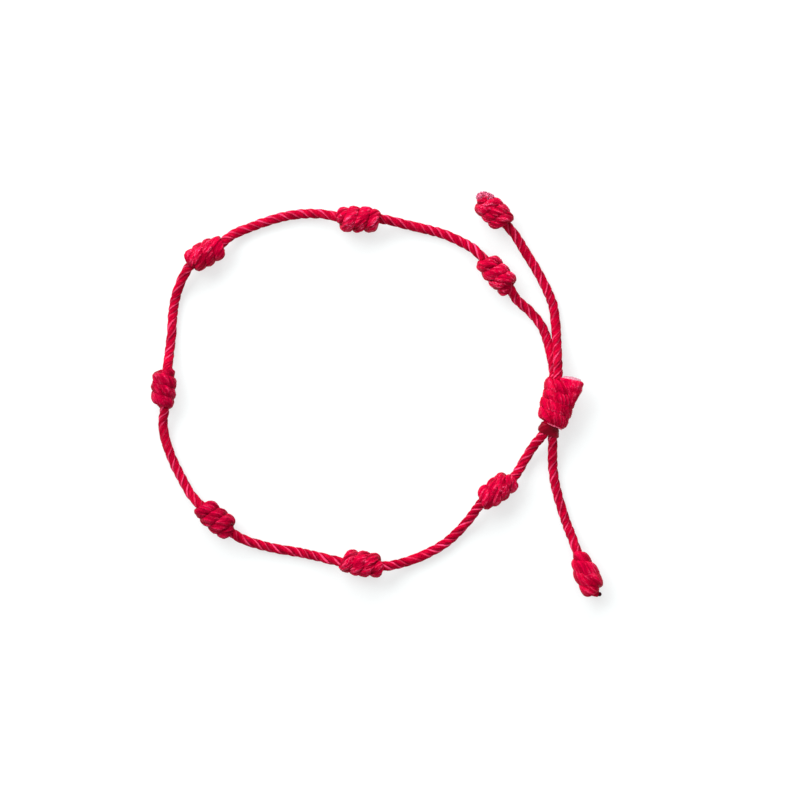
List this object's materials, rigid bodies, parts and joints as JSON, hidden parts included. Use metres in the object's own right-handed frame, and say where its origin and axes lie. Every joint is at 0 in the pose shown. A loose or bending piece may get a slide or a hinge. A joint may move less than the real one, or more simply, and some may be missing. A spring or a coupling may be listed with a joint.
{
  "type": "knotted cord bracelet",
  "caption": "Loop of red twisted cord with wound barrel knots, closed by a wound sliding knot, with two free tails that end in tapered knots; it lies flat.",
  "frame": {"origin": "under the middle of the outline seen from above, on the surface that the bracelet lies on", "axes": "+Z up from the surface; seen from above with +Y up, the sliding knot is on the right (+X), one tail runs up to the right and the other down to the right"},
  "size_m": [0.0813, 0.0731, 0.0056],
  "materials": {
    "twisted_cord": "satin crimson nylon cord, three plies twisted together",
    "fused_cord": "the same nylon melted smooth and dark"
  },
  "bodies": {
    "root": {"knot_upper_right": "twisted_cord", "knot_top": "twisted_cord", "knot_upper_left": "twisted_cord", "knot_left": "twisted_cord", "knot_lower_left": "twisted_cord", "knot_bottom": "twisted_cord", "knot_lower_right": "twisted_cord", "cord_top_right": "twisted_cord", "cord_top_left": "twisted_cord", "cord_left_upper": "twisted_cord", "cord_left_lower": "twisted_cord", "cord_bottom_left": "twisted_cord", "cord_bottom_right": "twisted_cord", "strand_upper": "twisted_cord", "strand_lower": "twisted_cord", "sliding_knot": "twisted_cord", "fused_turn": "fused_cord", "end_knot_upper": "twisted_cord", "end_knot_lower": "twisted_cord"}
  },
  "joints": []
}
